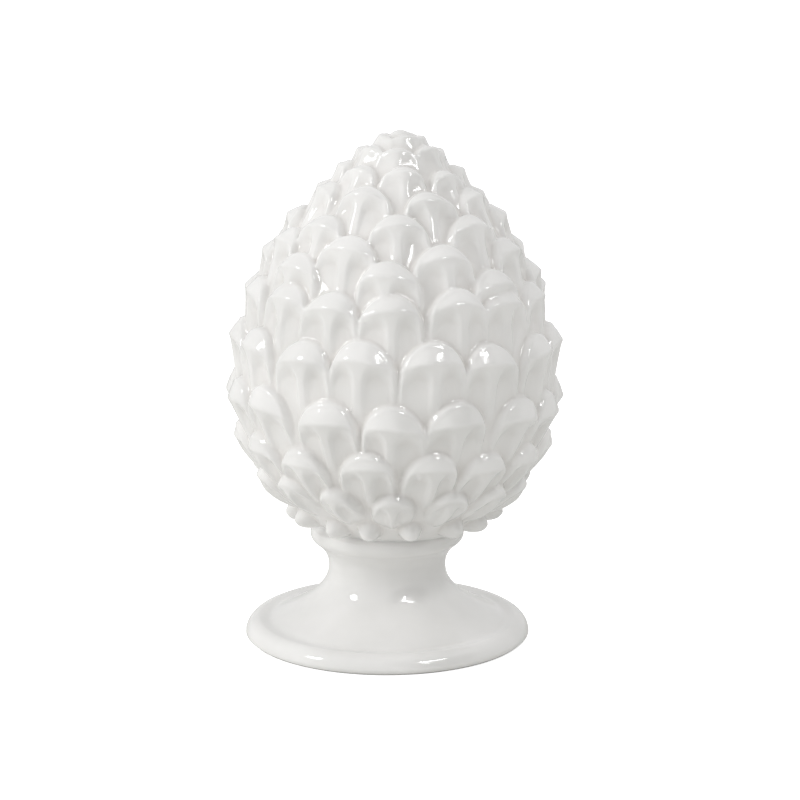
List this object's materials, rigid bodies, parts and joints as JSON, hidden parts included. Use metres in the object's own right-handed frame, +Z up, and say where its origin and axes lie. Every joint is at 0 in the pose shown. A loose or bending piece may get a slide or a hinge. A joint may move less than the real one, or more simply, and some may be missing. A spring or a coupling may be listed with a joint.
{
  "type": "pinecone finial",
  "caption": "Egg-shaped pinecone of overlapping hooded scales on a waisted neck and a round foot, in white glazed ceramic.",
  "frame": {"origin": "middle of the foot's flat underside", "axes": "+Z up along the foot's axis, -Y towards the viewer of the picture, +X to its right"},
  "size_m": [0.1654, 0.165, 0.25],
  "materials": {
    "white_glaze": "glossy white glaze"
  },
  "bodies": {
    "root": {"pinecone_finial": "white_glaze"}
  },
  "joints": []
}
